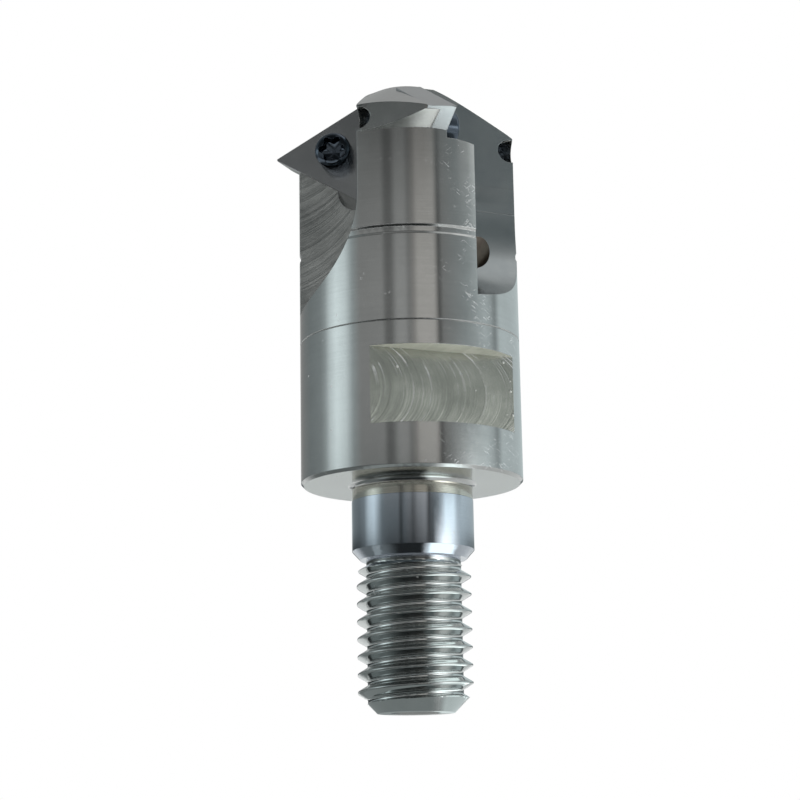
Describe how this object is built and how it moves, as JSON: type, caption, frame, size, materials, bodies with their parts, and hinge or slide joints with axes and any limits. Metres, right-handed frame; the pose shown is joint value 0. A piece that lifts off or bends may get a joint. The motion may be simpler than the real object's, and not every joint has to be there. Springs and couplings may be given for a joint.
{
  "type": "thread milling cutter",
  "caption": "Screw-in modular thread milling head with triangular indexable inserts, six-lobe screws, ground pilot, threaded stud and wrench flats.",
  "frame": {"origin": "centre of the annular seat face that meets the tool holder", "axes": "+Z along the tool axis towards the cutting end; +X to the right and -Y towards the viewer of the picture"},
  "size_m": [0.0213, 0.0211, 0.0548],
  "materials": {
    "steel_body": "turned and milled bright steel",
    "carbide": "ground dark grey carbide",
    "black_screw": "black oxide, glossy"
  },
  "bodies": {
    "root": {"cutter_body": "steel_body", "insert_1": "carbide", "insert_2": "carbide", "insert_3": "carbide", "insert_screw_1": "black_screw", "insert_screw_2": "black_screw", "insert_screw_3": "black_screw"}
  },
  "joints": []
}
